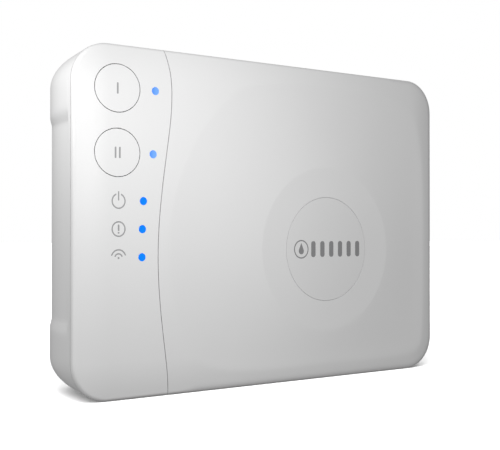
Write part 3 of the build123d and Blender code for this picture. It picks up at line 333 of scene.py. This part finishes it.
def casing_plastic():
    """The casing's plastic, with soft shading where two of its surfaces run out into each other.

    Those are the dish and the roll-off low on the right, and the ramps of the finger grips.
    """
    material = moulded_plastic("casing_white", CASING)
    tree = material.node_tree
    x, y, z = axes_in(tree)
    low = rescale(tree, z, *DISH_LOW_Z, 0, 1)
    right = rescale(tree, x, *DISH_RIGHT_X, 0, 1)
    past_seam = rescale(tree, x, *DISH_LEFT_X, 0, 1)
    dish = maths(tree, "MULTIPLY", maths(tree, "MAXIMUM", low, right), past_seam)
    dish = maths(tree, "MULTIPLY", dish, between(tree, y, *DISH_Y))
    ramp = between(tree, maths(tree, "ABSOLUTE", z), *GRIP_RAMP_Z)
    side = maths(tree, "GREATER_THAN", maths(tree, "ABSOLUTE", x), GRIP_X)
    behind = maths(tree, "GREATER_THAN", y, GRIP_FRONT_Y)
    ramp = maths(tree, "MULTIPLY", maths(tree, "MULTIPLY", ramp, side), behind)
    dish_reach = maths(tree, "MULTIPLY", dish, DISH_SOFT_MM * MM)
    ramp_reach = maths(tree, "MULTIPLY", ramp, GRIP_SOFT_MM * MM)
    softened = tree.nodes.new("ShaderNodeBevel")
    softened.samples = 8
    tree.links.new(maths(tree, "ADD", dish_reach, ramp_reach), softened.inputs["Radius"])
    bump = next(node for node in tree.nodes if node.type == "BUMP")
    tree.links.new(softened.outputs[0], bump.inputs["Normal"])
    return material


def paint(material, *names):
    for name in names:
        piece = nodes[name]
        piece.data.materials.clear()
        piece.data.materials.append(material)


def middle(name):
    """Centre of a node's box."""
    low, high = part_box(name)
    return [(a + b) / 2 for a, b in zip(low, high)]


def paint_outside():
    shell = casing_plastic()
    paint(shell, "rear_shell", "entry_strip", "control_panel", "terminal_cover")
    paint(moulded_plastic("button_white", CASING, grain_mm=0.03), "button_cap_1", "button_cap_2")
    paint(moulded_plastic("badge_white", BADGE, roughness=0.38, grain_mm=0.02), "cover_badge")
    paint(printed_ink("emblem_grey", (0.26, 0.26, 0.265)), "badge_emblem")
    marks = printed_ink("mark_grey", (0.33, 0.33, 0.335))
    paint(marks, "panel_marks", "button_mark_1", "button_mark_2")
    paint(soft_rubber("seal_rubber", (0.055, 0.055, 0.058)), "rim_gasket")
    grommet = soft_rubber("grommet_rubber", (0.02, 0.02, 0.022))
    paint(grommet, "grommet_mains", "grommet_valves", "grommet_sensors")
    for look, rim, heart, numbers in LIGHT_LOOKS:
        for number in numbers:
            name = f"light_pipe_{number}"
            glow = lit_window(f"light_blue_{look}_{number}", middle(name)[0], rim, heart, strength=1.0)
            paint(glow, name)


def paint_inside():
    paint(circuit_board("board_green"), "main_board", "display_board", "wireless_board")
    steel = plated_metal("screw_steel", STEEL[0])
    paint(steel, "panel_screws", "main_board_screws", "display_board_screws", "terminal_screws")
    tin = plated_metal("shield_metal", (0.74, 0.74, 0.72), roughness=0.28, stretch=(1, 1, 10))
    paint(tin, "wireless_shield", "crystal")
    paint(moulded_plastic("led_white", (0.78, 0.76, 0.66), roughness=0.4), "indicator_leds")
    black = moulded_plastic("black_plastic", BLACK[0], roughness=0.5, grain_mm=0.06, specks=0.2)
    paint(black, "buzzer", "fuse_holder")
    switch = moulded_plastic("switch_black", (0.02, 0.02, 0.022), roughness=0.45, grain_mm=0.05, specks=0.15)
    paint(switch, "tact_switch_1", "tact_switch_2", "switch_plunger_1", "switch_plunger_2")
    relay = moulded_plastic("relay_blue", RELAY_BLUE, roughness=0.34, grain_mm=0.03, specks=0.05)
    paint(relay, *(f"relay_{number}" for number in (1, 2, 3, 4)))
    green = (0.015, 0.24, 0.075)
    terminal = moulded_plastic("terminal_green", green, roughness=0.38, grain_mm=0.03, specks=0.05)
    paint(terminal, "mains_terminal", "valve_terminal_1", "valve_terminal_2", "sensor_terminal")
    header = moulded_plastic("header_white", (0.74, 0.71, 0.62), roughness=0.4)
    paint(header, "display_header", "main_header")
    paint(ribbed_ribbon("ribbon_grey", (0.42, 0.43, 0.44), pitch_mm=1.27), "ribbon_cable")
    module = moulded_plastic("module_blue", (0.012, 0.014, 0.02), roughness=0.4, grain_mm=0.08, specks=0.2)
    paint(module, "power_module")
    film = moulded_plastic("capacitor_yellow", (0.74, 0.50, 0.03), roughness=0.35, grain_mm=0.03, specks=0.04)
    paint(film, "filter_capacitor")
    paint(glossy_coat("varistor_blue", (0.015, 0.11, 0.36)), "varistor")
    can = capped_can("capacitor_sleeve", (0.012, 0.016, 0.06), (0.75, 0.75, 0.74))
    paint(can, "electrolytic_capacitors")
    for chip, half_width in CHIP_HALF_WIDTHS:
        x = middle(chip)[0]
        paint(banded(f"black_plastic_{chip}", "X", x - half_width, x + half_width, BLACK, STEEL), chip)
    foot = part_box("voltage_regulator")[0][2]
    top = foot + REGULATOR_BODY
    body = banded("black_plastic_regulator", "Z", foot - 1, top, BLACK, STEEL)
    paint(body, "voltage_regulator")
    x = middle("fuse_link")[0]
    glass = banded("fuse_glass", "X", x - FUSE_GLASS_HALF, x + FUSE_GLASS_HALF, GLASS, STEEL)
    paint(glass, "fuse_link")


# ---------------------------------------------------------------- small parts on the boards
def soft_boxes(name, boxes, bevel_mm, material):
    """Many small blocks in one piece, with rounded edges. A box is a centre and a size, in metres."""
    mesh = bmesh.new()
    for centre, size in boxes:
        turn = Matrix.Translation(centre) @ Matrix.Diagonal((*size, 1))
        bmesh.ops.create_cube(mesh, size=1.0, matrix=turn)
    finish_piece(name, mesh, bevel_mm, material)


def finish_piece(name, mesh, bevel_mm, material):
    """An object made from a mesh, which rides on the casing."""
    data = bpy.data.meshes.new(name)
    mesh.to_mesh(data)
    mesh.free()
    piece = bpy.data.objects.new(name, data)
    bpy.context.scene.collection.objects.link(piece)
    piece.data.materials.append(material)
    if bevel_mm:
        bevel = piece.modifiers.new("bevel", "BEVEL")
        bevel.width = bevel_mm * MM
        bevel.segments = 3
        bevel.limit_method = "ANGLE"
    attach(piece, "casing")


def on_front(board, from_right, from_top, width, height, tall):
    """Centre and size, in metres, of a block on a board's front, from distances in millimetres."""
    low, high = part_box(board)
    x, z = high[0] - from_right * MM, high[2] - from_top * MM
    return (x, low[1] - tall * MM / 2, z), (width * MM, tall * MM, height * MM)


CHIP_ROWS = (
    # distance from the right and the top edge, pitch along X and Z, count, and standing or lying
    (118.0, 34.0, 0.0, 3.2, 5, False),
    (96.5, 33.0, 0.0, 3.2, 6, False),
    (111.0, 53.0, 3.1, 0.0, 5, True),
    (112.0, 70.0, 3.1, 0.0, 6, True),
    (86.0, 60.0, -2.8, 0.0, 7, True),
    (86.0, 26.0, 0.0, 3.0, 4, False),
    (20.0, 61.5, 3.4, 0.0, 3, True),
    (75.0, 49.0, 3.2, 0.0, 5, True),
)


def chip_places():
    for right, top, step_x, step_z, count, standing in CHIP_ROWS:
        for index in range(count):
            yield right - index * step_x, top + index * step_z, standing


CHIP_BODY = (1.25, 1.24, 0.62)      # across the part, between its ends, and its height
CHIP_END = (1.28, 0.42, 0.66)
CHIP_PAD = (1.5, 0.95, 0.16)
CHIP_END_FROM_MIDDLE = 0.8
CHIP_PAD_FROM_MIDDLE = 1.04


def chip_block(right, top, standing, size, shift=0.0):
    """A block of a chip part, which stands along Z or lies along X, moved along the part."""
    across, along, tall = size
    if standing:
        return on_front("main_board", right, top + shift, across, along, tall)
    return on_front("main_board", right + shift, top, along, across, tall)


def add_chip_parts():
    """Small resistors and capacitors in rows, each a body between two tinned ends on solder."""
    bodies, ends, solder = [], [], []
    for place in chip_places():
        bodies.append(chip_block(*place, CHIP_BODY))
        for side in (-1, 1):
            ends.append(chip_block(*place, CHIP_END, side * CHIP_END_FROM_MIDDLE))
            solder.append(chip_block(*place, CHIP_PAD, side * CHIP_PAD_FROM_MIDDLE))
    body = moulded_plastic("chip_part_body", (0.05, 0.035, 0.03), roughness=0.4, grain_mm=0.02, specks=0.3)
    tin = plated_metal("solder_tin", (0.76, 0.76, 0.75), roughness=0.26, stretch=(1, 1, 1))
    soft_boxes("chip_part_bodies", bodies, 0.08, body)
    soft_boxes("chip_part_ends", ends, 0.1, tin)
    soft_boxes("chip_part_solder", solder, 0.08, tin)


PRINT_WIDTH = 0.0003
PRINT_RISE = 0.00005
PRINT_GAP = 0.0008


def add_outlines():
    """Printed outlines round the components, as thin raised frames without any lettering."""
    around = ("microcontroller", "relay_driver", "power_module", "filter_capacitor", "fuse_holder",
              "relay_1", "relay_2", "relay_3", "relay_4", "crystal", "main_header")
    board_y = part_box("main_board")[0][1]
    y = board_y - PRINT_RISE / 2
    strips = []
    for name in around:
        low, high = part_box(name)
        x0, x1 = low[0] - PRINT_GAP, high[0] + PRINT_GAP
        z0, z1 = low[2] - PRINT_GAP, high[2] + PRINT_GAP
        lying = (x1 - x0 + PRINT_WIDTH, PRINT_RISE, PRINT_WIDTH)
        standing = (PRINT_WIDTH, PRINT_RISE, z1 - z0 - PRINT_WIDTH)
        strips += [(((x0 + x1) / 2, y, z), lying) for z in (z0, z1)]
        strips += [((x, y, (z0 + z1) / 2), standing) for x in (x0, x1)]
    ink = printed_ink("board_print", PRINT)
    soft_boxes("board_outlines", strips, 0, ink)


BUZZER_RING_R = 0.0068


def add_buzzer_ring():
    """A printed ring round the buzzer."""
    mesh = bmesh.new()
    x, _, z = middle("buzzer")
    centre = x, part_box("main_board")[0][1], z
    ring(mesh, centre, BUZZER_RING_R, BUZZER_RING_R + PRINT_WIDTH, PRINT_RISE)
    ink = printed_ink("ring_print", PRINT)
    finish_piece("board_rings", mesh, 0, ink)


def ring(mesh, centre, inner, outer, tall, steps=48):
    """A flat ring standing out of a surface towards -Y."""
    loops = []
    for radius, y in ((inner, 0), (inner, -tall), (outer, -tall), (outer, 0)):
        loop = []
        for step in range(steps):
            turn = 2 * math.pi * step / steps
            across, up = radius * math.cos(turn), radius * math.sin(turn)
            loop.append(mesh.verts.new((centre[0] + across, centre[1] + y, centre[2] + up)))
        loops.append(loop)
    for near, far in zip(loops, loops[1:]):
        for step in range(steps):
            following = (step + 1) % steps
            mesh.faces.new((near[step], near[following], far[following], far[step]))


RIM_HALF_X = 0.0062
RIM_HALF_Z = 0.0080
RIM_BAR = 0.0005
RIM_RISE = 0.00025


def add_relay_rims():
    """A moulded rim on each relay's face."""
    bars = []
    standing = (RIM_BAR, RIM_RISE, RIM_HALF_Z * 2)
    lying = (RIM_HALF_X * 2 + RIM_BAR, RIM_RISE, RIM_BAR)
    for number in (1, 2, 3, 4):
        x, _, z = middle(f"relay_{number}")
        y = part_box(f"relay_{number}")[0][1] - RIM_RISE / 2
        for side in (-1, 1):
            bars.append(((x + side * RIM_HALF_X, y, z), standing))
            bars.append(((x, y, z + side * RIM_HALF_Z), lying))
    blue = moulded_plastic("relay_blue_rim", RELAY_BLUE, roughness=0.34, grain_mm=0.03, specks=0.05)
    soft_boxes("relay_rims", bars, 0.08, blue)


def add_label():
    """A plain pale label on the power module, with ruled lines in place of any wording."""
    x, _, z = middle("power_module")
    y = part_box("power_module")[0][1]
    sheet = [((x, y - 0.00005, z), (0.026, 0.0001, 0.016))]
    rule = (0.018, 0.00006, 0.0005)
    rules = [((x - 0.002, y - 0.00012, z + step * 0.003), rule) for step in (-1.5, -0.5, 0.5, 1.5)]
    paper = printed_ink("label_paper", (0.60, 0.60, 0.58))
    lines = printed_ink("label_lines", (0.08, 0.08, 0.08))
    soft_boxes("module_label", sheet, 0, paper)
    soft_boxes("module_label_rules", rules, 0, lines)


# ---------------------------------------------------------------- set
FLOOR_GAP = 0.0004
BRIGHTEST_SIDE = (-0.80, -0.35, 0.35)
ROOM_LIGHT = (0.09, 0.63)           # strength from the dimmest and from the brightest side
FLOOR_LIGHT = 5.5
FLOOR_LIGHT_WIDTH = 60              # degrees
FLOOR_LIGHT_TILT = 50
LAMPS = {
    # place, radius and power
    "key": ((-0.069, -0.178, 0.052), 0.045, 0.50),
    "side": ((-0.165, -0.046, 0.074), 0.030, 0.165),
}


def make_floor():
    """A plain pale floor under the casing; it takes the shadow and throws no light back."""
    lowest = cad_box[0][2]
    bpy.ops.mesh.primitive_plane_add(size=12, location=(0, 0, lowest - FLOOR_GAP))
    floor = bpy.context.object
    floor.name = "floor"
    material, _, shader = new_material("floor")
    shader.inputs["Base Color"].default_value = (0.93, 0.93, 0.93, 1)
    shader.inputs["Roughness"].default_value = 0.95
    shader.inputs["Specular IOR Level"].default_value = 0.0
    floor.data.materials.append(material)
    floor.visible_diffuse = False
    floor.visible_glossy = False
    return floor


def soft_lamp(name, place, radius, power):
    """A small round lamp close to the casing, out of the camera's sight."""
    data = bpy.data.lights.new(name, "POINT")
    data.shadow_soft_size = radius
    data.energy = power
    lamp = bpy.data.objects.new(name, data)
    bpy.context.scene.collection.objects.link(lamp)
    lamp.location = place
    lamp.visible_camera = False


def make_world():
    """An even white room to the camera; as a light it is brighter from the left and from above."""
    world = bpy.data.worlds.new("studio")
    bpy.context.scene.world = world
    world.use_nodes = True
    tree = world.node_tree
    background = tree.nodes["Background"]
    direction = tree.nodes.new("ShaderNodeTexCoord").outputs["Generated"]
    lean = tree.nodes.new("ShaderNodeVectorMath")
    lean.operation = "DOT_PRODUCT"
    tree.links.new(direction, lean.inputs[0])
    lean.inputs[1].default_value = Vector(BRIGHTEST_SIDE).normalized()
    ramp = add_node(tree, "ShaderNodeMapRange", Value=lean.outputs["Value"])
    ramp.interpolation_type = "SMOOTHSTEP"
    for name, number in zip(("From Min", "From Max", "To Min", "To Max"), (-1.0, 1.0, *ROOM_LIGHT)):
        ramp.inputs[name].default_value = number
    tree.links.new(ramp.outputs[0], background.inputs["Strength"])
    background.inputs["Color"].default_value = (1, 1, 1, 1)
    seen = add_node(tree, "ShaderNodeBackground", Strength=1.0)
    seen.inputs["Color"].default_value = (1, 1, 1, 1)
    paths = tree.nodes.new("ShaderNodeLightPath")
    chosen = tree.nodes.new("ShaderNodeMixShader")
    tree.links.new(paths.outputs["Is Camera Ray"], chosen.inputs[0])
    tree.links.new(background.outputs[0], chosen.inputs[1])
    tree.links.new(seen.outputs[0], chosen.inputs[2])
    tree.links.new(chosen.outputs[0], tree.nodes["World Output"].inputs["Surface"])


def light_floor(floor):
    """Wide light from the front for the floor alone, so that its shadow falls behind the casing."""
    data = bpy.data.lights.new("overhead", "SUN")
    data.energy = FLOOR_LIGHT
    data.angle = math.radians(FLOOR_LIGHT_WIDTH)
    lamp = bpy.data.objects.new("overhead", data)
    bpy.context.scene.collection.objects.link(lamp)
    lamp.rotation_euler = math.radians(FLOOR_LIGHT_TILT), 0, -math.radians(CAMERA_YAW)
    lit = bpy.data.collections.new("lit_by_overhead")
    lit.objects.link(floor)
    lamp.light_linking.receiver_collection = lit


bpy.context.scene.view_settings.view_transform = "Standard"
make_camera()
light_floor(make_floor())
make_world()
for lamp_name, facts in LAMPS.items():
    soft_lamp(lamp_name, *facts)
paint_outside()
paint_inside()
add_chip_parts()
add_outlines()
add_buzzer_ring()
add_relay_rims()
add_label()
